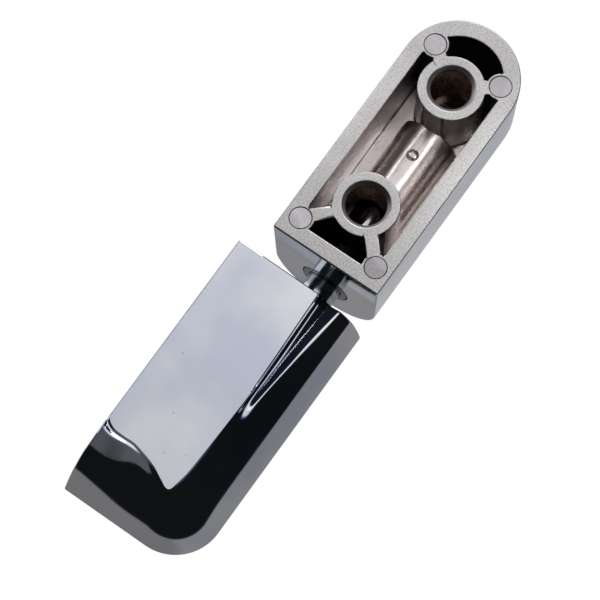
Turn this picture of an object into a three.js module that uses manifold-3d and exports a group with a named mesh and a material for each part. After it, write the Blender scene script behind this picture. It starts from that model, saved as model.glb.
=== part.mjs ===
// Two-part die-cast pivot handle: a base that screws to a frame from behind, and a lever
// that turns about a steel pin lying along the base's long axis.
//
// Millimetres, +Z up. X is across the handle and Y is its depth. The base's mounting face is
// the plane y = 0 and faces +Y, so everything stands out from it towards -Y. The origin is on
// the mounting face, on the centreline, in the middle of the rim's straight end bar.

import * as THREE from "three";
import { mergeVertices } from "three/addons/utils/BufferGeometryUtils.js";
import Module from "manifold-3d";

const wasm = await Module();
wasm.setup();

// ---- driving dimensions ---------------------------------------------------------------

const base = {
  width: 20,            // across the mounting face
  length: 47.2,         // from the flat end to the top of the round end
  draft: 0.4,           // how far each side leans in between the mounting face and the pin
  domeHeight: 9.2,      // the rounded front, measured from the pin's axis
  domeCrest: 0.4,       // width of the flat line left along the front's crest
  rim: 2.8,             // wall left round the hollow back
  floorPastAxis: 0.2,   // how far the hollow's floor lies beyond the pin's axis
};

const boss = {
  radius: 5.5,
  lowerHeight: 11.4,    // centre of the lower boss above the base's flat end
  upperDrop: 12,        // upper boss's centre below the top of the round end
  tapRadius: 3.35,      // hole tapped M8
  chamfer: 0.5,
  upperTapDepth: 14,
};

const pad = {
  radius: 2.3,          // corner pads that the casting is pushed out of its mould by
  lowerInset: 2.8,      // from the side of the base to the pad's centre
  upperInset: 3.7,
  lowerHeight: 3.6,     // above the base's flat end
  upperDrop: 7.3,       // below the top of the round end
  markRadius: 1.9,
  markDepth: 0.25,
  ribWidth: 2.3,
};

const pin = {
  radius: 3,
  depth: 12.3,          // from the mounting face back to the pin's axis
  endPlay: 0.7,         // between its upper end and the bore's
  inLever: 27.6,        // length inside the lever
  endChamfer: 0.6,
  grooveDrop: 2.9,      // centre of the retaining groove below the pin's upper end
  grooveWidth: 2.2,
  grooveDepth: 0.7,
};

// The half-round ridge in the hollow that holds the pin's bore.
const housing = {
  wall: 0.75,           // outside the bushes
  overlap: 0.3,         // how far it runs into the upper boss
  boreEndWall: 1.5,     // left between the bore's end and the upper boss's near side
};

const bush = {
  radius: 4.15,
  lowerLength: 7.3,
  holeMargin: 0.55,     // from the lower tapped hole to the upper bush
  grooveMargin: 1.4,    // from the upper bush to the pin's groove
};

const lockPin = { radius: 0.8, sink: 0.3 };

const rollPin = {
  radius: 1.25,
  bore: 0.5,            // radius of the hole along the rolled pin
  drop: 20.4,           // below the lever's top end
  reach: 4.2,           // how far past the pin's axis it goes towards the lever's face
  sink: 0.5,            // how far its end lies below the lever's back
};

const lever = {
  gap: 3.6,             // between the base's flat end and the lever's top end
  length: 47.6,
  wide: 14.35,          // from the pin's axis to the plane-cut side
  narrow: 9.6,          // from the pin's axis to the rounded side
  cornerRadius: 8.2,    // in plan, where the rounded side meets the foot
  partingHeight: -1.2,  // widest section, measured from the pin's axis towards the face
  backHeight: -6.2,     // plane of the back, measured the same way
  backDraft: 1.1,
  rimRadius: 6.8,       // rounding of the rim
  rimTopHeight: 5.7,    // crest of the rim at the top end, from the pin's axis
  rimFootHeight: 7.7,   // crest of the rim at the foot
  wall: 2.2,
  pinWall: 1.9,         // between the pin and the pockets in the back
  restAngle: 3,         // how far the lever is turned past the base's plane, in degrees
};

const face = {
  height: 6.9,          // flat thumb face, from the pin's axis
  toRounded: 1.3,       // from the pin's axis to the face's edge beside the rim
  footRim: 10.8,        // from the lever's foot up to the face
  footCorner: 9.4,      // how much of the face's end runs down into the rim's corner
  footPoint: 3.0,       // how far that corner reaches down
  valleyWidth: 1.5,
  valleyHeight: 4.6,    // bottom of the valley between face and rim, from the pin's axis
};

const pressGap = 0.1;   // round a piece that is pressed into a bore
const runGap = 0.1;     // round the pin where it turns
const arcSteps = 12;    // segments in a quarter of an outline's round
const roundSides = 40;  // sides of a cylinder

// ---- derived places ---------------------------------------------------------------------

const halfWidth = base.width / 2;
const frontHalfWidth = halfWidth - base.draft;
const roundCentre = base.length - halfWidth;
const upperBossHeight = base.length - boss.upperDrop;
const hollowDepth = pin.depth + base.floorPastAxis;
const leverTop = -lever.gap;
const leverFoot = leverTop - lever.length;
const boreEnd = upperBossHeight - boss.radius - housing.boreEndWall;
const pinTop = boreEnd - pin.endPlay;
const grooveHeight = pinTop - pin.grooveDrop;
const upperBushStart = boss.lowerHeight + boss.tapRadius + bush.holeMargin;
const upperBushEnd = grooveHeight - pin.grooveWidth / 2 - bush.grooveMargin;
const lowerTapDepth = pin.depth - pin.radius - runGap;
const boreRadius = bush.radius + pressGap;
const housingRadius = bush.radius + housing.wall;
const housingTop = upperBossHeight - boss.radius + housing.overlap;
const pocketSide = pin.radius + lever.pinWall;
const pinHoleRadius = pin.radius + pressGap;

// ---- solids -------------------------------------------------------------------------------

function solid(geometry) {
  const plain = geometry.clone();
  plain.deleteAttribute("normal");
  plain.deleteAttribute("uv");
  const merged = mergeVertices(plain, 1e-4);
  return new wasm.Manifold(new wasm.Mesh({
    numProp: 3,
    vertProperties: Float32Array.from(merged.attributes.position.array),
    triVerts: Uint32Array.from(merged.index.array),
  }));
}

function geometryOf(shape) {
  const mesh = shape.getMesh();
  const geometry = new THREE.BufferGeometry();
  geometry.setAttribute("position", new THREE.BufferAttribute(mesh.vertProperties, 3));
  geometry.setIndex(new THREE.BufferAttribute(mesh.triVerts, 1));
  geometry.computeVertexNormals();
  return geometry;
}

function join(...shapes) {
  return shapes.reduce((whole, shape) => whole.add(shape));
}

function cut(shape, ...tools) {
  return tools.reduce((rest, tool) => rest.subtract(tool), shape);
}

// A box between two corners.
function block(x0, x1, y0, y1, z0, z1) {
  const geometry = new THREE.BoxGeometry(x1 - x0, y1 - y0, z1 - z0);
  geometry.translate((x0 + x1) / 2, (y0 + y1) / 2, (z0 + z1) / 2);
  return solid(geometry);
}

// A round bar standing along Y at (x, z), between two depths.
function postY(radius, x, z, y0, y1) {
  const geometry = new THREE.CylinderGeometry(radius, radius, y1 - y0, roundSides);
  geometry.translate(x, (y0 + y1) / 2, z);
  return solid(geometry);
}

// A round bar along the pin's axis, between two heights.
function barZ(radius, y, z0, z1) {
  const geometry = new THREE.CylinderGeometry(radius, radius, z1 - z0, roundSides);
  geometry.rotateX(Math.PI / 2);
  geometry.translate(0, y, (z0 + z1) / 2);
  return solid(geometry);
}

// An outline drawn in X and Z, made thick from y = near towards -Y.
function slab(shape, near, depth, bevel = {}) {
  const geometry = new THREE.ExtrudeGeometry(shape, {
    depth,
    curveSegments: arcSteps,
    bevelEnabled: false,
    ...bevel,
  });
  geometry.rotateX(Math.PI / 2);
  geometry.translate(0, near, 0);
  return solid(geometry);
}

// The base's plan: straight sides, a full-round top and a square bottom at the given height.
function basePlan(half, bottom) {
  const shape = new THREE.Shape();
  shape.moveTo(-half, bottom);
  shape.lineTo(half, bottom);
  shape.lineTo(half, roundCentre);
  shape.absarc(0, roundCentre, half, 0, Math.PI, false);
  shape.closePath();
  return shape;
}

// ---- base ---------------------------------------------------------------------------------

const padPlaces = [-1, 1].flatMap((side) => [
  { x: side * (halfWidth - pad.lowerInset), z: pad.lowerHeight, bossZ: boss.lowerHeight },
  { x: side * (halfWidth - pad.upperInset), z: base.length - pad.upperDrop, bossZ: upperBossHeight },
]);

function baseBody() {
  const margin = base.width;
  const sides = slab(basePlan(frontHalfWidth, -margin), 0, 0, {
    bevelEnabled: true,
    bevelThickness: pin.depth,
    bevelSize: base.draft,
    bevelSegments: 1,
  });
  const inset = frontHalfWidth - base.domeCrest / 2;
  const front = slab(basePlan(frontHalfWidth, -margin), -pin.depth, 0, {
    bevelEnabled: true,
    bevelThickness: base.domeHeight,
    bevelSize: inset,
    bevelOffset: -inset,
    bevelSegments: arcSteps,
  });
  const kept = block(-margin, margin, -2 * margin, 0, 0, 2 * base.length);
  return join(sides, front).intersect(kept);
}

// A straight rib between a boss and its corner pad, as deep as the hollow.
function padRib(place) {
  const reach = Math.hypot(place.x, place.z - place.bossZ);
  const geometry = new THREE.BoxGeometry(reach, hollowDepth, pad.ribWidth);
  geometry.translate(reach / 2, -hollowDepth / 2, 0);
  geometry.rotateY(-Math.atan2(place.z - place.bossZ, place.x));
  geometry.translate(0, 0, place.bossZ);
  return solid(geometry);
}

function baseHollow() {
  const room = slab(basePlan(halfWidth - base.rim, base.rim), 1, hollowDepth + 1);
  const kept = [
    postY(boss.radius, 0, boss.lowerHeight, -hollowDepth, 0),
    postY(boss.radius, 0, upperBossHeight, -hollowDepth, 0),
    barZ(housingRadius, -pin.depth, 0, housingTop),
    ...padPlaces.map((place) => postY(pad.radius, place.x, place.z, -hollowDepth, 0)),
    ...padPlaces.map(padRib),
  ];
  return cut(room, ...kept);
}

function tappedHole(z, depth) {
  const mouth = new THREE.CylinderGeometry(
    boss.tapRadius + 2 * boss.chamfer, boss.tapRadius, 2 * boss.chamfer, roundSides);
  mouth.translate(0, 0, z);
  return join(postY(boss.tapRadius, 0, z, -depth, 1), solid(mouth));
}

function baseCasting() {
  const marks = padPlaces.map(
    (place) => postY(pad.markRadius, place.x, place.z, -pad.markDepth, 1));
  return cut(
    baseBody(),
    baseHollow(),
    tappedHole(boss.lowerHeight, lowerTapDepth),
    tappedHole(upperBossHeight, boss.upperTapDepth),
    barZ(boreRadius, -pin.depth, -1, boreEnd),
    postY(lockPin.radius + pressGap, 0, grooveHeight, -pin.depth, 0),
    ...marks,
  );
}

function bushing(z0, z1) {
  return cut(
    barZ(bush.radius, -pin.depth, z0, z1),
    barZ(pin.radius + runGap, -pin.depth, z0 - 1, z1 + 1),
  );
}

// The dowel goes down through the top of the housing into the pin's groove.
function lockingDowel() {
  const outer = -pin.depth + housingRadius - lockPin.sink;
  const inner = -pin.depth + pin.radius - pin.grooveDepth + runGap;
  return postY(lockPin.radius, 0, grooveHeight, inner, outer);
}

// ---- pin ----------------------------------------------------------------------------------

function pivotPin() {
  const top = pinTop;
  const foot = leverTop - pin.inLever;
  const ground = pin.radius - pin.grooveDepth;
  const profile = [
    [0, foot],
    [pin.radius - pin.endChamfer, foot],
    [pin.radius, foot + pin.endChamfer],
    [pin.radius, grooveHeight - pin.grooveWidth / 2],
    [ground, grooveHeight - pin.grooveWidth / 2],
    [ground, grooveHeight + pin.grooveWidth / 2],
    [pin.radius, grooveHeight + pin.grooveWidth / 2],
    [pin.radius, top - pin.endChamfer],
    [pin.radius - pin.endChamfer, top],
    [0, top],
  ].map(([radius, height]) => new THREE.Vector2(radius, height));
  const geometry = new THREE.LatheGeometry(profile, roundSides);
  geometry.rotateX(Math.PI / 2);
  geometry.translate(0, -pin.depth, 0);
  const crossHole = postY(
    rollPin.radius + pressGap, 0, leverTop - rollPin.drop, -pin.depth - base.width, 0);
  return cut(solid(geometry), crossHole);
}

// ---- lever --------------------------------------------------------------------------------
// The lever's heights are measured from the pin's axis towards its face, which looks the same
// way as the base's mounting face in the rest position.

function atHeight(height) {
  return height - pin.depth;
}

// The plan with its rounded side at -X and its foot at the bottom. The two plane-cut sides are
// moved out by the margin, to be cut back after the rim is rounded.
function leverPlan(inset, margin) {
  const left = -lever.narrow + inset;
  const foot = leverFoot + inset;
  const radius = lever.cornerRadius - inset;
  const shape = new THREE.Shape();
  shape.moveTo(lever.wide + margin, foot);
  shape.lineTo(lever.wide + margin, leverTop + margin);
  shape.lineTo(left, leverTop + margin);
  shape.lineTo(left, foot + radius);
  shape.absarc(left + radius, foot + radius, radius, Math.PI, 1.5 * Math.PI, false);
  shape.closePath();
  return shape;
}

// The rim's crest rises towards the foot, so the rounded block is tipped about its top end.
function leverFront() {
  const margin = 2 * lever.rimRadius;
  const front = new THREE.ExtrudeGeometry(leverPlan(0, margin), {
    depth: lever.rimRadius,
    curveSegments: arcSteps,
    bevelThickness: lever.rimRadius,
    bevelSize: lever.rimRadius,
    bevelOffset: -lever.rimRadius,
    bevelSegments: arcSteps,
  });
  front.rotateX(Math.PI / 2);
  front.translate(0, lever.rimTopHeight - lever.partingHeight - lever.rimRadius, -leverTop);
  front.rotateX(Math.atan2(lever.rimFootHeight - lever.rimTopHeight, lever.length));
  front.translate(0, atHeight(lever.partingHeight), leverTop);
  return solid(front);
}

function leverBack() {
  const thickness = lever.partingHeight - lever.backHeight;
  return slab(leverPlan(lever.backDraft, lever.cornerRadius), atHeight(lever.partingHeight), 0, {
    bevelEnabled: true,
    bevelThickness: thickness,
    bevelSize: lever.backDraft,
    bevelSegments: 1,
  });
}

// The face's outline grows by the valley's width where the valley is cut round it.
function facePlan(grow) {
  const edge = -face.toRounded - grow;
  const end = leverFoot + face.footRim - grow;
  const shape = new THREE.Shape();
  shape.moveTo(lever.wide + 1, end);
  shape.lineTo(lever.wide + 1, leverTop + 1);
  shape.lineTo(edge, leverTop + 1);
  shape.lineTo(edge, end - face.footPoint);
  shape.lineTo(-face.toRounded + face.footCorner, end);
  shape.closePath();
  return shape;
}

function leverBody() {
  const far = 3 * lever.length;
  const above = block(-far, far, atHeight(lever.partingHeight), far, -far, far);
  const window = block(-far, lever.wide, atHeight(lever.backHeight), far, -far, leverTop);
  const shell = join(leverFront().intersect(above), leverBack()).intersect(window);
  const valleyDepth = 2 * lever.rimFootHeight;
  const valley = slab(facePlan(face.valleyWidth), atHeight(face.valleyHeight + valleyDepth), valleyDepth);
  const filling = slab(facePlan(0), atHeight(face.height), face.height - face.valleyHeight + 1);
  return join(cut(shell, valley), filling.intersect(window));
}

// Pockets in the lever's back, either side of the rib below the pin's housing.
function leverPockets() {
  const inner = lever.wide - lever.wall;
  const outer = lever.narrow - lever.backDraft - lever.wall;
  const roof = atHeight(face.valleyHeight - lever.wall);
  const open = atHeight(lever.backHeight) - 1;
  const pinEnd = leverTop - pin.inLever - lever.wall;
  const foot = leverFoot + lever.backDraft + lever.wall;
  const middle = (leverTop + pinEnd) / 2;
  const half = lever.wall / 2;
  return [
    block(pocketSide, inner, open, roof, middle + half, leverTop - lever.wall),
    block(pocketSide, inner, open, roof, pinEnd, middle - half),
    block(-outer, inner, open, roof, foot + lever.wall, pinEnd - lever.wall),
  ];
}

function leverCasting() {
  const pinHole = barZ(
    pinHoleRadius, -pin.depth, leverTop - pin.inLever - pressGap, leverTop + 1);
  const crossHole = postY(
    rollPin.radius + pressGap, 0, leverTop - rollPin.drop,
    atHeight(lever.backHeight) - 1, atHeight(rollPin.reach + pressGap));
  return cut(leverBody(), ...leverPockets(), pinHole, crossHole);
}

function rolledPin() {
  const z = leverTop - rollPin.drop;
  const back = atHeight(lever.backHeight) + rollPin.sink;
  const front = atHeight(rollPin.reach);
  return cut(postY(rollPin.radius, 0, z, back, front), postY(rollPin.bore, 0, z, back - 1, front + 1));
}

// ---- materials and scene --------------------------------------------------------------------

function finish(color, roughness, metalness) {
  return new THREE.MeshStandardMaterial({ color, roughness, metalness });
}

const chromePlate = finish(0xc8cbd4, 0.12, 1);
const brightSteel = finish(0xb9bcc0, 0.25, 1);
const bushMetal = finish(0x9a9ea3, 0.35, 1);
const springSteel = finish(0x6d7075, 0.4, 1);

function piece(name, shape, material) {
  const mesh = new THREE.Mesh(geometryOf(shape), material);
  mesh.name = name;
  return mesh;
}

const handle = new THREE.Group();
handle.position.z = -base.rim / 2;

handle.add(
  piece("base_casting", baseCasting(), chromePlate),
  piece("lower_bush", bushing(0, bush.lowerLength), bushMetal),
  piece("upper_bush", bushing(upperBushStart, upperBushEnd), bushMetal),
  piece("locking_dowel", lockingDowel(), springSteel),
);

// The lever, its pin and the rolled pin turn together about the pin's axis.
const turning = new THREE.Group();
turning.position.y = -pin.depth;
turning.rotation.z = THREE.MathUtils.degToRad(lever.restAngle);
const turningPieces = new THREE.Group();
turningPieces.position.y = pin.depth;
turningPieces.add(
  piece("lever_casting", leverCasting(), chromePlate),
  piece("pivot_pin", pivotPin(), brightSteel),
  piece("lever_roll_pin", rolledPin(), springSteel),
);
turning.add(turningPieces);
handle.add(turning);

export default handle;
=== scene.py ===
"""Looks of the two-part die-cast pivot handle, built round its CAD frame.

Pieces are modelled in millimetres in the row frame and brought to metres when they are done.
X runs across the handle, Y is its depth with the mounting face at y = 0, and Z runs along the
pin towards the round end of the base.
"""

import math

import bmesh
import bpy
from mathutils import Matrix, Vector


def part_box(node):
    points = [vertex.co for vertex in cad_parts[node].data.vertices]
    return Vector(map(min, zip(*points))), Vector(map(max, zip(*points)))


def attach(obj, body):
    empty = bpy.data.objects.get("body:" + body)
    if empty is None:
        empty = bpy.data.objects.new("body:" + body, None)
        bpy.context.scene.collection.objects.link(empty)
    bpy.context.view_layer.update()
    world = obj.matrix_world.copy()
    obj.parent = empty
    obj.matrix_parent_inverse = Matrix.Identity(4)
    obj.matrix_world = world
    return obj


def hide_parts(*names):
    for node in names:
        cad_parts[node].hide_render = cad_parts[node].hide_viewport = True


MM = 0.001

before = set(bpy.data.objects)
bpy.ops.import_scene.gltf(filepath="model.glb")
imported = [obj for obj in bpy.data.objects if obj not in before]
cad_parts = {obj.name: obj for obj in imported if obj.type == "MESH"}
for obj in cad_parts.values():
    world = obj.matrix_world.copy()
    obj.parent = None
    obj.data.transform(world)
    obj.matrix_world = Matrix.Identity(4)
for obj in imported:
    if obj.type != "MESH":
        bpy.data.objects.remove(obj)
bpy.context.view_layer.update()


def in_mm(node):
    low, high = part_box(node)
    return Vector(low) / MM, Vector(high) / MM


BASE_LOW, BASE_HIGH = in_mm("base_casting")
BUSH_LOW, BUSH_HIGH = in_mm("lower_bush")
UPPER_BUSH_LOW, UPPER_BUSH_HIGH = in_mm("upper_bush")
DOWEL_LOW, DOWEL_HIGH = in_mm("locking_dowel")

# ---- sizes in millimetres ------------------------------------------------------------------

BASE_END = BASE_LOW.z  # flat end of the base
BASE_HALF = BASE_HIGH.x  # half its width at the mounting face
BASE_DRAFT = 0.4  # how far each side leans in down to the pin
ROUND_CENTRE = BASE_HIGH.z - BASE_HALF
RIM = 2.8
HOLLOW_HALF = BASE_HALF - RIM
PIN_DEPTH = -(BUSH_LOW.y + BUSH_HIGH.y) / 2
HOLLOW_DEPTH = PIN_DEPTH + 0.2

BOSS_RADIUS = 5.5
LOWER_BOSS = BASE_END + 11.4
UPPER_BOSS = BASE_HIGH.z - 12.0
LOWER_TAP_DEPTH = 9.2
UPPER_TAP_DEPTH = 14.0
TAP_RADIUS = 3.35
THREAD_PITCH = 1.25  # M8
THREAD_DEPTH = 0.45
THREAD_START = 1.1
COUNTERSINK = 0.62
PAD_RADIUS = 2.3
MARK_RADIUS = 1.74  # flat disc that an ejector pin leaves
MARK_EDGE = 1.96  # outside of the groove round it
MARK_TILT = math.radians(3.4)
RIB_WIDTH = 2.3
HOUSING_RADIUS = 4.9

PIN_RADIUS = 3.0
PIN_CHAMFER = 0.6
PIN_WALL = 1.9  # metal beside the pin in the lever
GROOVE_RADIUS = 2.3  # in the pin, for the locking dowel
GROOVE_HALF = 1.1
GROOVE_PLACE = 2.9  # below the pin's top
BORE_RADIUS = 4.25
BORE_TOP = UPPER_BOSS - BOSS_RADIUS - 1.5
LEVER_TOP = BASE_END - 3.6
LEVER_LENGTH = 47.6
LEVER_FOOT = LEVER_TOP - LEVER_LENGTH
PIN_FOOT = LEVER_TOP - 27.6
LEVER_WIDE = 14.35
LEVER_NARROW = 9.6
PLAN_CORNER = 8.2
PARTING = -1.2  # widest section of the lever, from the pin's axis
LEVER_BACK = -6.2
BACK_DRAFT = 1.1
FACE_HEIGHT = 6.9
LEVER_WALL = 2.2
POCKET_ROOF = 2.4  # above the pin's axis
POCKET_CORNER = 1.2
REST_TURN = math.radians(3.0)
ROLL_PIN_HEIGHT = LEVER_TOP - 20.4
ROLL_PIN_RADIUS = 1.25

ROUND = 64  # sides of a turned shape
CLEAR = 2  # how far bosses, pads and ribs are drawn past the hollow, clear of its cutter's top

# ---- shaping helpers -----------------------------------------------------------------------


def hold(name, bm):
    """A linked object that holds this shape."""
    bmesh.ops.remove_doubles(bm, verts=bm.verts, dist=1e-4)
    bmesh.ops.recalc_face_normals(bm, faces=bm.faces)
    mesh = bpy.data.meshes.new(name)
    bm.to_mesh(mesh)
    bm.free()
    obj = bpy.data.objects.new(name, mesh)
    bpy.context.scene.collection.objects.link(obj)
    return obj


def settle(obj):
    """Takes the object's modifiers into its mesh."""
    graph = bpy.context.evaluated_depsgraph_get()
    mesh = bpy.data.meshes.new_from_object(obj.evaluated_get(graph))
    obj.modifiers.clear()
    obj.data = mesh
    return obj


def combine(body, tools, operation):
    """Joins tools to body, or cuts them from it, and uses them up."""
    for tool in tools:
        step = body.modifiers.new(tool.name, "BOOLEAN")
        step.operation = operation
        step.solver = "EXACT"
        step.object = tool
    settle(body)
    for tool in tools:
        bpy.data.objects.remove(tool)
    return body


def turned(name, profile, centre, axis, sides=ROUND):
    """A solid of revolution from (radius, place along the axis) points, first and last on it."""
    axis = Vector(axis).normalized()
    across = Vector((1, 0, 0)) if abs(axis.x) < 0.5 else Vector((0, 1, 0))
    bm = bmesh.new()
    points = [bm.verts.new(Vector(centre) + across * r + axis * h) for r, h in profile]
    edges = [bm.edges.new(pair) for pair in zip(points, points[1:])]
    bmesh.ops.spin(
        bm, geom=points + edges, cent=centre, axis=axis, angle=2 * math.pi, steps=sides,
        use_merge=True, use_duplicate=False)
    bmesh.ops.remove_doubles(bm, verts=bm.verts, dist=1e-4)
    return hold(name, bm)


def rod(name, radius, start, end, axis=(0, -1, 0), centre=(0, 0, 0), sides=ROUND):
    return turned(name, [(0, start), (radius, start), (radius, end), (0, end)], centre, axis, sides)


def brick(name, low, high, corner=0.0):
    """A box between two corners, its edges along Y rounded."""
    low, high = Vector(low), Vector(high)
    bm = bmesh.new()
    bmesh.ops.create_cube(bm, size=1)
    bmesh.ops.scale(bm, vec=high - low, verts=bm.verts)
    bmesh.ops.translate(bm, vec=(low + high) / 2, verts=bm.verts)
    if corner:
        upright = [e for e in bm.edges if abs((e.verts[0].co - e.verts[1].co).y) > 1e-6]
        bmesh.ops.bevel(
            bm, geom=upright, offset=corner, offset_type="OFFSET", segments=6, profile=0.5,
            affect="EDGES", material=-1)
    return hold(name, bm)


def smooth_line(points, steps):
    """A rounded line through the points, with this many steps between two of them."""
    points = [Vector(p) for p in points]
    ends = [2 * points[0] - points[1]] + points + [2 * points[-1] - points[-2]]
    line = []
    for i in range(1, len(ends) - 2):
        a, b, c, d = ends[i - 1 : i + 3]
        for k in range(steps):
            t = k / steps
            line.append(0.5 * (
                2 * b + (c - a) * t + (2 * a - 5 * b + 4 * c - d) * t**2
                + (3 * b - a - 3 * c + d) * t**3))
    line.append(points[-1])
    return line


def eased_line(points, steps):
    """A line that keeps near the points but rounds every corner between them."""
    ends = [points[0]] * 2 + list(points) + [points[-1]] * 2
    line = []
    for i in range(len(ends) - 3):
        a, b, c, d = ends[i : i + 4]
        for k in range(steps):
            t = k / steps
            line.append((
                a * (1 - t) ** 3 + b * (3 * t**3 - 6 * t**2 + 4)
                + c * (3 * t**2 - 3 * t**3 + 3 * t + 1) + d * t**3) / 6)
    line.append(points[-1].copy())
    return line


def finish_edges(obj, width, angle=38, segments=3, share=None):
    """Rounds the sharp edges as a plated casting's are, and shades the rest smooth.

    share says how much of the width an edge takes, from its middle in millimetres."""
    bm = bmesh.new()
    bm.from_mesh(obj.data)
    weight = bm.edges.layers.float.new("bevel_weight_edge")
    for face in bm.faces:
        face.smooth = True
    for edge in bm.edges:
        if len(edge.link_faces) == 2 and edge.calc_face_angle() > math.radians(angle):
            middle = (edge.verts[0].co + edge.verts[1].co) / (2 * MM)
            edge[weight] = share(middle) if share else 1.0
            edge.smooth = edge[weight] > 0
    bm.to_mesh(obj.data)
    bm.free()
    rounding = obj.modifiers.new("rounded edges", "BEVEL")
    rounding.width = width * MM
    rounding.segments = segments
    rounding.limit_method = "WEIGHT"
    rounding.use_clamp_overlap = False
    rounding.miter_outer = "MITER_ARC"
    even = obj.modifiers.new("even shading", "WEIGHTED_NORMAL")
    even.weight = 80
    even.keep_sharp = True
    return obj


def whole_flats(obj, places):
    """Makes one face again of each flat at these places along Y that had been divided."""
    bm = bmesh.new()
    bm.from_mesh(obj.data)
    inside = [e for e in bm.edges if len(e.link_faces) == 2 and any(
        all(abs(v.co.y - y) < 1e-3 for f in e.link_faces for v in f.verts) for y in places)]
    bmesh.ops.dissolve_limit(
        bm, angle_limit=math.radians(0.5), edges=inside, verts=[], use_dissolve_boundaries=False,
        delimit={"MATERIAL"})
    bm.to_mesh(obj.data)
    bm.free()
    return obj


def to_metres(obj, turn=None):
    if turn is not None:
        obj.data.transform(turn)
    obj.data.transform(Matrix.Scale(MM, 4))
    return obj


# ---- base casting --------------------------------------------------------------------------

# Each corner pad's place, and the boss that its rib runs to.
PADS = [
    (side * (BASE_HALF - inset), height, boss)
    for side in (-1, 1)
    for inset, height, boss in (
        (2.8, BASE_END + 3.6, LOWER_BOSS),
        (3.7, BASE_HIGH.z - 7.3, UPPER_BOSS),
    )
]


def base_shell():
    """Half the cross-section swung round the top end, then drawn straight down to the flat end."""
    depth = -BASE_LOW.y
    half = BASE_HALF - BASE_DRAFT
    crest = 0.2
    profile = [(0, 0), (BASE_HALF, 0)]
    profile += [(BASE_HALF - BASE_DRAFT * k / 4, -PIN_DEPTH * k / 4) for k in range(1, 5)]
    steps = 20
    for k in range(1, steps + 1):
        angle = math.pi / 2 * k / steps
        profile.append((
            crest + (half - crest) * math.cos(angle),
            -PIN_DEPTH - (depth - PIN_DEPTH) * math.sin(angle)))
    profile.append((0, -depth))
    bm = bmesh.new()
    points = [bm.verts.new((x, y, ROUND_CENTRE)) for x, y in profile]
    edges = [bm.edges.new(pair) for pair in zip(points, points[1:])]
    bmesh.ops.spin(
        bm, geom=points + edges, cent=(0, 0, ROUND_CENTRE), axis=(0, -1, 0), angle=math.pi,
        steps=48, use_duplicate=False)
    bmesh.ops.remove_doubles(bm, verts=bm.verts, dist=1e-4)
    rim = [e for e in bm.edges if e.is_boundary]
    drawn = bmesh.ops.extrude_edge_only(bm, edges=rim)["geom"]
    moved = [v for v in drawn if isinstance(v, bmesh.types.BMVert)]
    bmesh.ops.translate(bm, vec=(0, 0, BASE_END - ROUND_CENTRE), verts=moved)
    bmesh.ops.holes_fill(bm, edges=[e for e in bm.edges if e.is_boundary], sides=0)
    return hold("base_casting_fine", bm)


def hollow_room():
    bm = bmesh.new()
    bmesh.ops.create_circle(bm, cap_ends=True, segments=2 * ROUND, radius=HOLLOW_HALF)
    bmesh.ops.rotate(
        bm, cent=(0, 0, 0), matrix=Matrix.Rotation(math.pi / 2, 3, "X"), verts=bm.verts)
    bmesh.ops.translate(bm, vec=(0, 1, ROUND_CENTRE), verts=bm.verts)
    drawn = bmesh.ops.extrude_face_region(bm, geom=list(bm.faces))["geom"]
    bmesh.ops.translate(
        bm, vec=(0, -HOLLOW_DEPTH - 1, 0),
        verts=[v for v in drawn if isinstance(v, bmesh.types.BMVert)])
    room = hold("hollow_room", bm)
    straight = brick(
        "straight", (-HOLLOW_HALF, -HOLLOW_DEPTH, BASE_END + RIM), (HOLLOW_HALF, 1, ROUND_CENTRE))
    return combine(room, [straight], "UNION")


def pad_rib(x, z, boss):
    reach = Vector((x, 0, z - boss))
    rib = brick(
        "rib", (0, -HOLLOW_DEPTH - 1, -RIB_WIDTH / 2), (reach.length, CLEAR, RIB_WIDTH / 2))
    rib.data.transform(
        Matrix.Translation((0, 0, boss))
        @ Matrix.Rotation(-math.atan2(reach.z, reach.x), 4, "Y"))
    return rib


def tapped_hole(height, depth):
    """The cutter for a countersunk M8 thread."""
    profile = [
        (0, -1), (TAP_RADIUS + 1.0, -1), (TAP_RADIUS + COUNTERSINK, 0), (TAP_RADIUS, COUNTERSINK)]
    place = THREAD_START
    while place + THREAD_PITCH < depth - 0.6:
        profile += [
            (TAP_RADIUS, place),
            (TAP_RADIUS + THREAD_DEPTH, place + 0.45 * THREAD_PITCH),
            (TAP_RADIUS + THREAD_DEPTH, place + 0.55 * THREAD_PITCH),
            (TAP_RADIUS, place + 0.98 * THREAD_PITCH),
        ]
        place += THREAD_PITCH
    profile += [(TAP_RADIUS, depth), (0, depth)]
    return turned("tapped_hole", profile, (0, 0, height), (0, -1, 0), 48)


def ejector_mark(x, z, tilt):
    """The cutter for an ejector pin's print: a shallow disc a little out of level, with a fine
    groove round it."""
    profile = [
        (0, 0.05), (MARK_RADIUS, 0.05), (1.8, 0.22), (1.9, 0.22), (MARK_EDGE, -1), (0, -1)]
    mark = turned("ejector_mark", profile, (0, 0, 0), (0, -1, 0), 40)
    mark.data.transform(
        Matrix.Translation((x, 0, z)) @ Matrix.Rotation(MARK_TILT, 4, tilt))
    return mark


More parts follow.
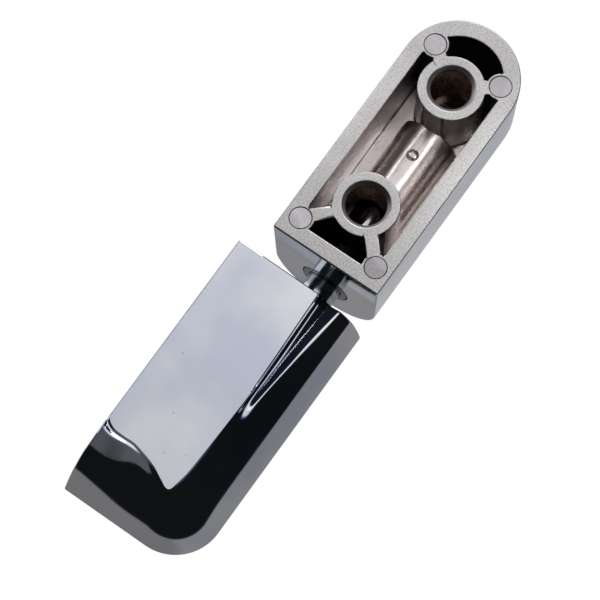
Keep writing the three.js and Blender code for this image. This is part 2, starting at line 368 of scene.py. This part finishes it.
def base_casting():
    room = hollow_room()
    housing_top = UPPER_BOSS - BOSS_RADIUS + 0.3
    stays = [
        rod("boss", BOSS_RADIUS, -CLEAR, HOLLOW_DEPTH + CLEAR, centre=(0, 0, LOWER_BOSS)),
        rod("boss", BOSS_RADIUS, -CLEAR, HOLLOW_DEPTH + CLEAR, centre=(0, 0, UPPER_BOSS)),
        rod("housing", HOUSING_RADIUS, BASE_END, housing_top, (0, 0, 1), (0, -PIN_DEPTH, 0)),
    ]
    stays += [rod("pad", PAD_RADIUS, -CLEAR, HOLLOW_DEPTH + CLEAR, centre=(x, 0, z), sides=40)
              for x, z, _ in PADS]
    stays += [pad_rib(*place) for place in PADS]
    combine(room, stays, "DIFFERENCE")
    tools = [
        room,
        tapped_hole(LOWER_BOSS, LOWER_TAP_DEPTH),
        tapped_hole(UPPER_BOSS, UPPER_TAP_DEPTH),
        rod("bore", BORE_RADIUS, BASE_END - 1, BORE_TOP, (0, 0, 1), (0, -PIN_DEPTH, 0)),
        rod("dowel_hole", DOWEL_HIGH.x + 0.05, 0, PIN_DEPTH,
            centre=(0, 0, (DOWEL_LOW.z + DOWEL_HIGH.z) / 2), sides=32),
    ]
    tilts = [(-1, 0, -0.2), (-0.3, 0, -1), (1, 0, 0.5), (0.8, 0, 1)]
    tools += [ejector_mark(x, z, Vector(tilt)) for (x, z, _), tilt in zip(PADS, tilts)]
    return combine(whole_flats(base_shell(), [0.0]), tools, "DIFFERENCE")


def base_regions(obj):
    """Material slots by place: 0 polished outside, 1 mounting face, 2 hollow, lightened as painted
    light, 3 tapped holes and bore, 4 painted shade in the hollow beyond the bosses and in the
    grooves round the ejector marks, 5 ejector marks and countersinks."""
    for face in obj.data.polygons:
        c = face.center
        beyond = max(0.0, c.z - ROUND_CENTRE)
        from_side = math.hypot(c.x, beyond)
        from_boss = min(math.hypot(c.x, c.z - h) for h in (LOWER_BOSS, UPPER_BOSS))
        from_mark = min(math.hypot(c.x - x, c.z - z) for x, z, _ in PADS)
        in_hollow = from_side < HOLLOW_HALF + 0.02 and c.z > BASE_END + RIM - 0.02
        small = face.area < 12
        if from_mark < MARK_RADIUS + 0.03 and c.y > -0.2 and small:
            face.material_index = 5
        # The grooves round the marks take slot 4, which is painted shade.
        elif from_mark < MARK_EDGE + 0.04 and -0.5 < c.y < -0.02 and small:
            face.material_index = 4
        elif from_boss < BOSS_RADIUS - 1.0 and -UPPER_TAP_DEPTH - 0.5 < c.y < -0.02:
            face.material_index = 5 if c.y > -0.6 else 3
        elif c.y > -0.02:
            face.material_index = 1
        elif (math.hypot(c.x, c.y + PIN_DEPTH) < BORE_RADIUS + 0.05
              and BASE_END + 0.01 < c.z < UPPER_BOSS):
            face.material_index = 3
        # The hollow's plate is lightened as painted light, and its deep ends are painted shade.
        elif in_hollow and c.y > -HOLLOW_DEPTH - 0.02:
            deep = c.z > UPPER_BOSS + 1.5 or c.z < LOWER_BOSS - 2.0
            face.material_index = 4 if deep else 2


def base_edge_share(middle):
    """Threads and ejector marks stay crisp and the holes' mouths nearly so. The flat end takes the
    full width, and every other edge three quarters of it."""
    near_boss = min(math.hypot(middle.x, middle.z - h) for h in (LOWER_BOSS, UPPER_BOSS))
    near_mark = min(math.hypot(middle.x - x, middle.z - z) for x, z, _ in PADS)
    if near_mark < 2.1 and middle.y > -0.6:
        return 0.0
    if near_boss < TAP_RADIUS + 0.8:
        return 0.4 if middle.y > -0.3 else 0.0
    if middle.z < BASE_END + 0.1:
        return 1.0
    return 0.75


# ---- lever casting -------------------------------------------------------------------------

# Edge of the thumb face from the top end down, round its point and across to the plane-cut
# side, as (x, height above the lever's foot).
FACE_EDGE = [
    (-1.1, 47.6), (-1.3, 41.0), (-1.5, 34.5), (-1.6, 28.0), (-1.35, 19.0), (-1.05, 12.5),
    (-0.6, 9.3), (-0.25, 8.1), (0.5, 7.95), (1.8, 8.6), (4.7, 10.0), (8.2, 10.85),
    (10.4, 10.85), (12.3, 10.95), (13.7, 11.6), (LEVER_WIDE, 12.6),
]
# Where along the outline's edge each of those is reached, so that the two lines keep step.
OUTER_PLACES = [
    0.0, 6.6, 13.1, 19.6, 28.6, 34.5, 39.0, 43.0, 47.5, 52.0, 55.8, 59.4, 62.0, 64.3, 66.4, None,
]
# Rim sections as (share of the way from face edge to outline, height above the axis), each at
# the outline place where it holds. A valley beside the face runs out half-way down, and a
# shallow one follows the face's lower end. The shares and heights were set one by one.
RIM_SECTIONS = [
    (0.0, [(0, 6.9), (.008, 6.6), (.014, 5.6), (.02, 4.6), (.035, 4.15), (.06, 4.1),
           (.1, 4.2), (.2, 4.46), (.3, 4.72), (.4, 4.98), (.48, 5.2), (.51, 5.17), (.58, 4.9),
           (.7, 4.3), (.82, 3.2), (.96, 0.4), (1, -1.2)]),
    (11.0, [(0, 6.9), (.01, 6.7), (.018, 6.2), (.026, 5.7), (.045, 5.34), (.07, 5.26),
            (.1, 5.31), (.16, 5.45), (.23, 5.62), (.31, 5.83), (.34, 5.79), (.42, 5.53),
            (.56, 5.0), (.7, 4.25), (.84, 2.85), (.96, 0.4), (1, -1.2)]),
    (20.0, [(0, 6.9), (.01, 6.85), (.02, 6.6), (.03, 6.3), (.045, 6.05), (.06, 5.96),
            (.08, 5.97), (.12, 6.05), (.16, 6.14), (.2, 6.23), (.225, 6.18), (.32, 5.86),
            (.51, 5.2), (.69, 4.4), (.84, 2.85), (.96, 0.4), (1, -1.2)]),
    (25.0, [(0, 6.9), (.02, 6.85), (.04, 6.77), (.06, 6.68), (.08, 6.6), (.11, 6.5),
            (.14, 6.41), (.17, 6.32), (.2, 6.22), (.24, 6.08), (.28, 5.94), (.36, 5.63),
            (.5, 4.98), (.66, 4.05), (.83, 2.55), (.95, 0.5), (1, -1.2)]),
    (36.0, [(0, 6.9), (.02, 6.87), (.04, 6.83), (.06, 6.78), (.08, 6.72), (.11, 6.62),
            (.14, 6.51), (.17, 6.39), (.2, 6.26), (.24, 6.08), (.28, 5.89), (.36, 5.48),
            (.5, 4.7), (.66, 3.65), (.83, 2.15), (.95, 0.2), (1, -1.2)]),
    (46.0, [(0, 6.9), (.02, 6.84), (.04, 6.77), (.06, 6.69), (.08, 6.6), (.11, 6.47),
            (.14, 6.34), (.17, 6.21), (.2, 6.07), (.24, 5.88), (.28, 5.68), (.36, 5.25),
            (.5, 4.45), (.66, 3.36), (.83, 1.9), (.95, 0.1), (1, -1.2)]),
    (56.9, [(0, 6.9), (.015, 6.89), (.03, 6.87), (.045, 6.84), (.06, 6.81), (.08, 6.775),
            (.1, 6.74), (.12, 6.71), (.14, 6.675), (.17, 6.62), (.21, 6.53), (.3, 6.2),
            (.45, 5.45), (.62, 4.32), (.81, 2.6), (.95, 0.3), (1, -1.2)]),
    (61.7, [(0, 6.9), (.015, 6.87), (.03, 6.83), (.045, 6.82), (.06, 6.87), (.075, 6.93),
            (.09, 6.93), (.11, 6.9), (.15, 6.83), (.22, 6.7), (.335, 6.46), (.4, 6.28),
            (.5, 5.76), (.64, 4.77), (.81, 3.0), (.95, 0.4), (1, -1.2)]),
    (None, [(0, 6.9), (.03, 6.82), (.06, 6.76), (.085, 6.78), (.1, 6.93), (.115, 7.1),
            (.13, 7.2), (.15, 7.24), (.19, 7.22), (.3, 7.02), (.46, 6.68), (.52, 6.46),
            (.6, 5.98), (.7, 5.06), (.83, 3.35), (.95, 0.5), (1, -1.2)]),
]


def outline_at(place, inset=0.0):
    """A point on the lever's plan outline and how it faces, this far along from the top end."""
    straight = LEVER_LENGTH - PLAN_CORNER
    quarter = math.pi / 2 * PLAN_CORNER
    side = -LEVER_NARROW
    if place <= straight:
        point, out = Vector((side, LEVER_LENGTH - place)), Vector((-1, 0))
    elif place <= straight + quarter:
        angle = (place - straight) / PLAN_CORNER
        out = Vector((-math.cos(angle), -math.sin(angle)))
        point = Vector((side + PLAN_CORNER, PLAN_CORNER)) + out * PLAN_CORNER
    else:
        point, out = Vector((side + PLAN_CORNER + place - straight - quarter, 0)), Vector((0, -1))
    return point - out * inset


def between(table, place):
    """The entry at this place in a table of (place, list of vectors), on one smooth sweep."""
    last = len(table) - 1
    i = next((k for k in range(1, last) if place <= table[k][0]), last)
    (p0, a), (p1, b) = table[i - 1], table[i]
    (before, a0), (after, b1) = table[max(i - 2, 0)], table[min(i + 1, last)]
    span = p1 - p0
    t = (place - p0) / span
    entry = []
    for u0, u, v, v1 in zip(a0, a, b, b1):
        leave, arrive = (v - u0) * span / (p1 - before), (v1 - u) * span / (after - p0)
        entry.append(
            u * (2 * t**3 - 3 * t**2 + 1) + leave * (t**3 - 2 * t**2 + t)
            + v * (3 * t**2 - 2 * t**3) + arrive * (t**3 - t**2))
    return entry


def lever_body():
    """A sheet of stations and columns, wrapped from the face's corner over the rim to the back."""
    length = (LEVER_LENGTH - PLAN_CORNER + math.pi / 2 * PLAN_CORNER
              + LEVER_WIDE + LEVER_NARROW - PLAN_CORNER)
    places = OUTER_PLACES[:-1] + [length]
    dense = smooth_line([Vector((p, *edge)) for p, edge in zip(places, FACE_EDGE)], 10)
    rim_table = [(length if p is None else p, [Vector(q) for q in section])
                 for p, section in RIM_SECTIONS]
    stations = 150
    rows = []
    for i in range(stations + 1):
        place = length * i / stations
        j = next((k for k, q in enumerate(dense) if q.x >= place - 1e-6), len(dense) - 1)
        a, b = dense[max(j - 1, 0)], dense[j]
        t = 0 if b.x - a.x < 1e-9 else (place - a.x) / (b.x - a.x)
        q = a.lerp(b, t) if t > 0 else (b if j == 0 else a)
        inner = Vector((q.y, q.z))
        outer = outline_at(place)
        section = eased_line(between(rim_table, place), 3)
        row = [(LEVER_WIDE, LEVER_LENGTH, FACE_HEIGHT)]
        for share, height in section:
            p = inner.lerp(outer, min(max(share, 0), 1))
            row.append((p.x, p.y, height))
        back = outline_at(place, BACK_DRAFT)
        if i == stations:
            back.x = LEVER_WIDE
        mid = outline_at(place, BACK_DRAFT / 2)
        row.append((mid.x, mid.y, (PARTING + LEVER_BACK) / 2))
        row.append((back.x, back.y, LEVER_BACK))
        row.append((LEVER_WIDE, LEVER_LENGTH, LEVER_BACK))
        rows.append(row)
    columns = len(rows[0])
    bm = bmesh.new()
    bmesh.ops.create_grid(
        bm, x_segments=columns - 1, y_segments=stations, size=1)
    for v in bm.verts:
        column = round((v.co.x + 1) / 2 * (columns - 1))
        station = round((v.co.y + 1) / 2 * stations)
        x, z, height = rows[station][column]
        v.co = (x, height - PIN_DEPTH, z + LEVER_FOOT)
    bmesh.ops.remove_doubles(bm, verts=bm.verts, dist=1e-4)
    corner = [v for v in bm.verts
              if abs(v.co.x - LEVER_WIDE) < 1e-3 and abs(v.co.z - LEVER_TOP) < 1e-3]
    bm.edges.new(corner)
    top = [v for v in bm.verts if abs(v.co.z - LEVER_TOP) < 1e-3]
    side = [v for v in bm.verts if abs(v.co.x - LEVER_WIDE) < 1e-3]
    for ring in (top, side):
        inner_edges = {e for v in ring for e in v.link_edges
                       if e.other_vert(v) in ring and (e.is_boundary or e.is_wire)}
        bmesh.ops.contextual_create(bm, geom=list(inner_edges))
    return hold("lever_casting_fine", bm)


def lever_regions(obj):
    """Slot 0 is the flat thumb face and slot 1 everything else."""
    for face in obj.data.polygons:
        flat = face.normal.y > 0.999 and face.center.y > FACE_HEIGHT - PIN_DEPTH - 0.05
        face.material_index = 0 if flat else 1


def lever_casting():
    wall = LEVER_WALL
    inner = LEVER_WIDE - wall
    outer = LEVER_NARROW - BACK_DRAFT - wall
    roof = POCKET_ROOF - PIN_DEPTH
    opening = LEVER_BACK - PIN_DEPTH - 1
    pin_end = PIN_FOOT - wall
    foot = LEVER_FOOT + BACK_DRAFT + wall
    middle = (LEVER_TOP + pin_end) / 2
    beside_pin = PIN_RADIUS + PIN_WALL
    tools = [
        brick("pocket", (beside_pin, opening, middle + wall / 2), (inner, roof, LEVER_TOP - wall),
              POCKET_CORNER),
        brick("pocket", (beside_pin, opening, pin_end), (inner, roof, middle - wall / 2),
              POCKET_CORNER),
        brick("pocket", (-outer, opening, foot + wall), (inner, roof, pin_end - wall),
              POCKET_CORNER),
        rod("pin_hole", PIN_RADIUS + 0.1, PIN_FOOT - 0.1, LEVER_TOP + 1, (0, 0, 1),
            (0, -PIN_DEPTH, 0)),
        rod("cross_hole", ROLL_PIN_RADIUS + 0.1, PIN_DEPTH - 4.3, PIN_DEPTH - LEVER_BACK + 1,
            centre=(0, 0, ROLL_PIN_HEIGHT), sides=32),
    ]
    flats = [FACE_HEIGHT - PIN_DEPTH, LEVER_BACK - PIN_DEPTH]
    return whole_flats(combine(whole_flats(lever_body(), flats), tools, "DIFFERENCE"), flats)


# ---- finishes ------------------------------------------------------------------------------


def colour(code):
    """Linear colour from an sRGB hex value."""
    parts = [int(code[i : i + 2], 16) / 255 for i in (0, 2, 4)]
    linear = [c / 12.92 if c <= 0.04045 else ((c + 0.055) / 1.055) ** 2.4 for c in parts]
    return (*linear, 1.0)


def add(tree, kind, inputs=None, **settings):
    """Adds a node; inputs maps a socket to a value or to the socket that feeds it."""
    node = tree.nodes.new(kind)
    for key, value in settings.items():
        setattr(node, key, value)
    for key, value in (inputs or {}).items():
        if isinstance(value, bpy.types.NodeSocket):
            tree.links.new(value, node.inputs[key])
        else:
            node.inputs[key].default_value = value
    return node


def ramp(tree, fac, *stops):
    node = add(tree, "ShaderNodeValToRGB", {"Fac": fac})
    while len(node.color_ramp.elements) < len(stops):
        node.color_ramp.elements.new(0.5)
    for element, (place, value) in zip(node.color_ramp.elements, stops):
        element.position = place
        element.color = colour(value) if isinstance(value, str) else (value, value, value, 1)
    return node


def new_material(name):
    material = bpy.data.materials.new(name)
    material.use_nodes = True
    tree = material.node_tree
    tree.nodes.clear()
    shader = add(tree, "ShaderNodeBsdfPrincipled")
    add(tree, "ShaderNodeOutputMaterial", {"Surface": shader.outputs["BSDF"]})
    place = add(tree, "ShaderNodeTexCoord").outputs["Object"]
    return material, tree, shader, place


def polished_chrome(name, wave_size, wave_depth):
    """Bright chrome over polished zinc: a near mirror, very slightly blue, with the faint waves
    that polishing leaves, a little handling haze and a few pinholes."""
    material, tree, shader, place = new_material(name)
    shader.inputs["Metallic"].default_value = 1.0
    lower = add(tree, "ShaderNodeMapping", {"Vector": place, "Location": (0, 0, 20 * MM)})
    haze = add(tree, "ShaderNodeTexNoise", {
        "Vector": lower.outputs["Vector"], "Scale": 1 / (24 * MM), "Detail": 3.0})
    tone = ramp(tree, haze.outputs["Fac"], (0.42, "ececee"), (0.58, "d2d7e2"))
    pits = add(tree, "ShaderNodeTexVoronoi", {"Vector": place, "Scale": 1 / (3.2 * MM)})
    pit = ramp(tree, pits.outputs["Distance"], (0.03, 0.72), (0.07, 1.0))
    mixed = add(tree, "ShaderNodeMix", {
        "Factor": 1.0, "A": tone.outputs["Color"], "B": pit.outputs["Color"]},
        data_type="RGBA", blend_type="MULTIPLY")
    tree.links.new(mixed.outputs["Result"], shader.inputs["Base Color"])
    smear = add(tree, "ShaderNodeTexNoise", {"Vector": place, "Scale": 1 / (6 * MM), "Detail": 4.0})
    rough = add(tree, "ShaderNodeMapRange", {
        "Value": smear.outputs["Fac"], "From Min": 0.35, "From Max": 0.7, "To Min": 0.05,
        "To Max": 0.1})
    tree.links.new(rough.outputs["Result"], shader.inputs["Roughness"])
    wave = add(tree, "ShaderNodeTexNoise", {
        "Vector": place, "Scale": 1 / (wave_size * MM), "Detail": 2.0})
    bump = add(tree, "ShaderNodeBump", {
        "Height": wave.outputs["Fac"], "Strength": 1.0, "Distance": wave_depth * MM})
    tree.links.new(bump.outputs["Normal"], shader.inputs["Normal"])
    return material


def satin_chrome(name, shades, roughness, grit_size, grit_depth):
    """The same plate over a face left as it was cast: satin, with the fine grit of the mould."""
    material, tree, shader, place = new_material(name)
    shader.inputs["Metallic"].default_value = 1.0
    grit = add(tree, "ShaderNodeTexNoise", {
        "Vector": place, "Scale": 1 / (grit_size * MM), "Detail": 4.0, "Roughness": 0.65})
    patch = add(tree, "ShaderNodeTexNoise", {"Vector": place, "Scale": 1 / (5 * MM), "Detail": 3.0})
    tone = ramp(tree, grit.outputs["Fac"], (0.3, shades[0]), (0.5, shades[1]), (0.7, shades[2]))
    shade = ramp(tree, patch.outputs["Fac"], (0.35, 0.88), (0.65, 1.0))
    mixed = add(tree, "ShaderNodeMix", {
        "Factor": 1.0, "A": tone.outputs["Color"], "B": shade.outputs["Color"]},
        data_type="RGBA", blend_type="MULTIPLY")
    tree.links.new(mixed.outputs["Result"], shader.inputs["Base Color"])
    rough = add(tree, "ShaderNodeMapRange", {
        "Value": patch.outputs["Fac"], "From Min": 0.3, "From Max": 0.7,
        "To Min": roughness[0], "To Max": roughness[1]})
    tree.links.new(rough.outputs["Result"], shader.inputs["Roughness"])
    bump = add(tree, "ShaderNodeBump", {
        "Height": grit.outputs["Fac"], "Strength": 1.0, "Distance": grit_depth * MM})
    tree.links.new(bump.outputs["Normal"], shader.inputs["Normal"])
    return material


def machined(name, light, dark, low, high, spacing):
    """Turned metal: fine bands one above the other along Z, so the gloss breaks up across them."""
    material, tree, shader, place = new_material(name)
    shader.inputs["Metallic"].default_value = 1.0
    stretched = add(tree, "ShaderNodeMapping", {"Vector": place, "Scale": (1, 1, 8)})
    rings = add(tree, "ShaderNodeTexNoise", {
        "Vector": stretched.outputs["Vector"], "Scale": 1 / (spacing * MM), "Detail": 2.0})
    tone = ramp(tree, rings.outputs["Fac"], (0.35, dark), (0.65, light))
    tree.links.new(tone.outputs["Color"], shader.inputs["Base Color"])
    rough = add(tree, "ShaderNodeMapRange", {
        "Value": rings.outputs["Fac"], "From Min": 0.3, "From Max": 0.7, "To Min": low,
        "To Max": high})
    tree.links.new(rough.outputs["Result"], shader.inputs["Roughness"])
    bump = add(tree, "ShaderNodeBump", {
        "Height": rings.outputs["Fac"], "Strength": 0.15, "Distance": 0.03 * MM})
    tree.links.new(bump.outputs["Normal"], shader.inputs["Normal"])
    return material


POLISHED_FACE = polished_chrome("polished_chrome_plate", 9.0, 0.012)
POLISHED_RIM = polished_chrome("buffed_chrome_plate", 4.5, 0.012)
AS_CAST = satin_chrome(
    "as_cast_chrome_plate", ("b0adab", "d6d3d1", "e8e5e3"), (0.36, 0.46), 0.3, 0.03)
# Recesses take little chrome, so the nickel and copper under it show through as a warmer tone.
# Its shades are also set lighter than the cast faces' as painted light for the light that reaches
# into the hollow.
HOLLOW_PLATE_AND_PAINTED_LIGHT = satin_chrome(
    "thin_plate_and_painted_light", ("d7ccc9", "e6dedb", "eee8e6"), (0.24, 0.34), 0.5, 0.005)
# Painted shade: the hollow's deep ends and the grooves round the ejector marks are near black.
POCKET_SHADE = satin_chrome("painted_pocket_shade", ("3a3634", "4a4542", "57514d"), (0.3, 0.45), 0.5, 0.01)
# Ejector marks and countersinks: as dull as the cast faces, with much less grit.
LAND = satin_chrome(
    "ejector_land_chrome", ("c2bdc1", "ccc8cc", "d2ced3"), (0.36, 0.44), 0.5, 0.006)
THREAD = machined("tapped_zinc", "b09c92", "806c62", 0.25, 0.4, 3.0)
STEEL = machined("bright_ground_steel", "dfe2e6", "c3c7cd", 0.08, 0.16, 3.0)
BUSH = machined("turned_steel_bush", "a4a8ad", "84888e", 0.2, 0.34, 3.0)
SPRING = machined("oiled_spring_steel", "74777b", "4c4f54", 0.28, 0.42, 2.0)


def dress(obj, *materials):
    obj.data.materials.clear()
    for material in materials:
        obj.data.materials.append(material)


# ---- pieces --------------------------------------------------------------------------------

base = base_casting()
dress(base, POLISHED_RIM, AS_CAST, HOLLOW_PLATE_AND_PAINTED_LIGHT, THREAD, POCKET_SHADE, LAND)
base_regions(base)
to_metres(base)
finish_edges(base, 0.3, 35, 2, base_edge_share)
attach(base, "base")
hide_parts("base_casting")

turn_lever = (
    Matrix.Translation((0, -PIN_DEPTH, 0)) @ Matrix.Rotation(REST_TURN, 4, "Z")
    @ Matrix.Translation((0, PIN_DEPTH, 0)))

lever = lever_casting()
dress(lever, POLISHED_FACE, POLISHED_RIM)
lever_regions(lever)
to_metres(lever, turn_lever)
finish_edges(lever, 0.25, 40, 3)
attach(lever, "lever")
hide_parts("lever_casting")

pin_top = BORE_TOP - 0.7
groove_low = pin_top - GROOVE_PLACE - GROOVE_HALF
groove_high = pin_top - GROOVE_PLACE + GROOVE_HALF
pin_end = PIN_RADIUS - PIN_CHAMFER
pin_profile = [
    (0, PIN_FOOT), (pin_end, PIN_FOOT), (PIN_RADIUS, PIN_FOOT + PIN_CHAMFER),
    (PIN_RADIUS, groove_low), (GROOVE_RADIUS, groove_low), (GROOVE_RADIUS, groove_high),
    (PIN_RADIUS, groove_high), (PIN_RADIUS, pin_top - PIN_CHAMFER), (pin_end, pin_top),
    (0, pin_top),
]
pin = turned("pivot_pin_fine", pin_profile, (0, -PIN_DEPTH, 0), (0, 0, 1), 96)
dress(pin, STEEL)
to_metres(pin)
finish_edges(pin, 0.1, 40, 2)
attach(pin, "lever")
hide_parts("pivot_pin")


def bush(name, low, high):
    edge = 0.14
    inside = PIN_RADIUS + 0.1
    outside = high.x
    bm = bmesh.new()
    profile = [
        (inside, low.z + edge), (inside + edge, low.z), (outside - edge, low.z),
        (outside, low.z + edge), (outside, high.z - edge), (outside - edge, high.z),
        (inside + edge, high.z), (inside, high.z - edge)]
    points = [bm.verts.new((r, -PIN_DEPTH, z)) for r, z in profile]
    edges = [bm.edges.new((points[i - 1], points[i])) for i in range(len(points))]
    bmesh.ops.spin(
        bm, geom=points + edges, cent=(0, -PIN_DEPTH, 0), axis=(0, 0, 1), angle=2 * math.pi,
        steps=96, use_merge=True, use_duplicate=False)
    piece = hold(name, bm)
    dress(piece, BUSH)
    to_metres(piece)
    return finish_edges(piece, 0.04, 40, 2)


for name, node, low, high in (
    ("lower_bush_fine", "lower_bush", BUSH_LOW, BUSH_HIGH),
    ("upper_bush_fine", "upper_bush", UPPER_BUSH_LOW, UPPER_BUSH_HIGH),
):
    ring = bush(name, low, high)
    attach(ring, "base")
    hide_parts(node)

dowel_radius = DOWEL_HIGH.x
dowel_top = -PIN_DEPTH + HOUSING_RADIUS - 0.06
dowel = turned(
    "locking_dowel_fine",
    [(0, -dowel_top), (dowel_radius - 0.25, -dowel_top), (dowel_radius, 0.12 - dowel_top),
     (dowel_radius, -DOWEL_LOW.y), (0, -DOWEL_LOW.y)],
    (0, 0, (DOWEL_LOW.z + DOWEL_HIGH.z) / 2), (0, -1, 0), 40)
# The dowel takes the hollow's plate, lightened as painted light.
dress(dowel, HOLLOW_PLATE_AND_PAINTED_LIGHT)
to_metres(dowel)
finish_edges(dowel, 0.05, 30, 2)
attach(dowel, "base")
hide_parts("locking_dowel")

dress(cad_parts["lever_roll_pin"], SPRING)

# ---- floor, light and camera ---------------------------------------------------------------

FLOOR_HEIGHT = -0.45

bm = bmesh.new()
bmesh.ops.create_grid(bm, x_segments=1, y_segments=1, size=6)
bmesh.ops.translate(bm, vec=(0, 0, FLOOR_HEIGHT), verts=bm.verts)
floor = hold("studio_floor", bm)
floor_paint, _, shader, _ = new_material("matt_white_studio_paint")
shader.inputs["Base Color"].default_value = colour("f4f4f2")
shader.inputs["Roughness"].default_value = 0.9
dress(floor, floor_paint)
floor.visible_glossy = False

world = bpy.data.worlds.new("soft_studio")
bpy.context.scene.world = world
world.use_nodes = True
sky = world.node_tree
sky.nodes.clear()
toward = add(sky, "ShaderNodeTexCoord").outputs["Generated"]


def patch_of_light(direction, wide, soft):
    """1 within that many degrees of a direction, fading to 0 over the next soft degrees."""
    d = Vector(direction).normalized()
    dot = add(sky, "ShaderNodeVectorMath", {0: toward, 1: tuple(d)}, operation="DOT_PRODUCT")
    return add(sky, "ShaderNodeMapRange", {
        "Value": dot.outputs["Value"], "From Min": math.cos(math.radians(wide + soft)),
        "From Max": math.cos(math.radians(wide)), "To Min": 0.0, "To Max": 1.0},
        interpolation_type="SMOOTHSTEP").outputs["Result"]


axes = add(sky, "ShaderNodeSeparateXYZ", {"Vector": toward}).outputs


def fade(axis, start, end):
    """0 where a direction's part along the axis is at start, 1 where it is at end."""
    return add(sky, "ShaderNodeMapRange", {
        "Value": axes[axis], "From Min": start, "From Max": end, "To Min": 0.0, "To Max": 1.0},
        interpolation_type="SMOOTHSTEP").outputs["Result"]


def flat_of_light(across, height):
    """1 inside a rectangle in front of the handle: two (start, end) ramps for each direction."""
    factor = add(
        sky, "ShaderNodeMath", {0: axes["Y"], 1: 0.0}, operation="GREATER_THAN").outputs[0]
    for axis, ramps in (("X", across), ("Z", height)):
        for start, end in ramps:
            factor = add(sky, "ShaderNodeMath", {0: factor, 1: fade(axis, start, end)},
                         operation="MULTIPLY").outputs[0]
    return factor


beside_or_below = add(sky, "ShaderNodeMath", {0: fade("X", 0.0, -0.15), 1: fade("Z", -0.22, -0.32)},
                      operation="MAXIMUM").outputs[0]
black_flats = add(sky, "ShaderNodeMath", {0: beside_or_below, 1: fade("Y", -0.02, 0.05)},
                  operation="MULTIPLY").outputs[0]

# The room as the chrome sees it; the camera itself sees plain white. Over an even grey come, each
# laid over those before it: a darker floor, a paler wall behind, a bright one on the +X side, a
# dim patch in front, black flats beside and below, a black patch in front, and a large softbox
# with a dim blue border and a brighter window. It was laid out for the camera below.
BACKDROP = (0.26, 0.26, 0.268)
ROOM = [
    ((0.185, 0.185, 0.19), patch_of_light((0.15, -0.35, -0.92), 35, 20)),
    ((0.45, 0.455, 0.47), patch_of_light((-0.05, -0.93, 0.36), 10, 12)),
    ((0.9, 0.92, 0.95), patch_of_light((0.95, 0.05, 0.25), 24, 10)),
    ((0.095, 0.1, 0.108), patch_of_light((0.15, 0.97, -0.12), 26, 8)),
    ((0.006, 0.0072, 0.008), black_flats),
    ((0.008, 0.011, 0.017), patch_of_light((0.62, 0.78, 0.05), 26, 8)),
    ((0.05, 0.085, 0.15), flat_of_light(((-0.44, -0.3), (0.42, 0.3)), ((-0.1, 0.1), (0.8, 0.7)))),
    ((0.84, 0.84, 0.875), flat_of_light(((-0.34, -0.12), (0.42, 0.3)), ((-0.02, 0.3), (0.8, 0.7)))),
    ((1.3, 1.28, 1.27), flat_of_light(((0.1, 0.19), (0.42, 0.3)), ((-0.1, 0.12), (0.46, 0.22)))),
]
seen = add(sky, "ShaderNodeRGB").outputs[0]
seen.default_value = (*BACKDROP, 1)
for tint, factor in ROOM:
    mixed = add(
        sky, "ShaderNodeMix", {"Factor": factor, "A": seen, "B": (*tint, 1)}, data_type="RGBA")
    seen = mixed.outputs["Result"]
reflected = add(sky, "ShaderNodeBackground", {"Color": seen, "Strength": 1.0})
plain = add(sky, "ShaderNodeBackground", {"Color": (1, 1, 1, 1), "Strength": 1.0})
path = add(sky, "ShaderNodeLightPath")
both = add(sky, "ShaderNodeMixShader")
sky.links.new(path.outputs["Is Camera Ray"], both.inputs["Fac"])
sky.links.new(reflected.outputs["Background"], both.inputs[1])
sky.links.new(plain.outputs["Background"], both.inputs[2])
add(sky, "ShaderNodeOutputWorld", {"Surface": both.outputs["Shader"]})

bpy.context.scene.view_settings.view_transform = "Standard"


def softbox(name, place, aim, size, power):
    light = bpy.data.lights.new(name, "AREA")
    light.shape = "RECTANGLE"
    light.size, light.size_y = size
    light.energy = power
    obj = bpy.data.objects.new(name, light)
    obj.location = place
    obj.rotation_euler = (Vector(aim) - Vector(place)).to_track_quat("-Z", "Y").to_euler()
    bpy.context.scene.collection.objects.link(obj)
    return obj


softbox("key_softbox", (0.25, 0.6, 0.9), (0, 0, 0), (0.5, 0.5), 4.0)
# Two slim lights close to the recess draw the bright lines along the pin's housing.
SLIM_DISTANCE = 0.05
SLIM_SIZE = (0.006, 0.012)
SLIM_POWER = 0.0025
housing_middle = Vector((0, -PIN_DEPTH + HOUSING_RADIUS, (LOWER_BOSS + UPPER_BOSS) / 2)) * MM
for toward_light in ((-0.338, 0.905, 0.25), (0.636, 0.732, 0.242)):
    slim = softbox(
        "slim_light", housing_middle + Vector(toward_light) * SLIM_DISTANCE, housing_middle,
        SLIM_SIZE, SLIM_POWER)
    slim.visible_camera = False

CAMERA_PLACE = (-0.10775, 0.5925, -0.15886)
CAMERA_LENS = 237.6
camera_data = bpy.data.cameras.new("camera")
camera_data.sensor_width = 36
camera_data.lens = CAMERA_LENS
camera_data.clip_start = 0.01
camera_data.clip_end = 50
camera = bpy.data.objects.new("camera", camera_data)
bpy.context.scene.collection.objects.link(camera)
view_right = Vector((-0.819, -0.003, 0.574))
view_up = Vector((0.548, 0.297, 0.782))
view_back = view_right.cross(view_up).normalized()
view_up = view_back.cross(view_right).normalized()
view_right = view_up.cross(view_back).normalized()
camera.matrix_world = Matrix.Translation(CAMERA_PLACE) @ Matrix(
    (view_right, view_up, view_back)).transposed().to_4x4()
bpy.context.scene.camera = camera

bpy.context.view_layer.update()
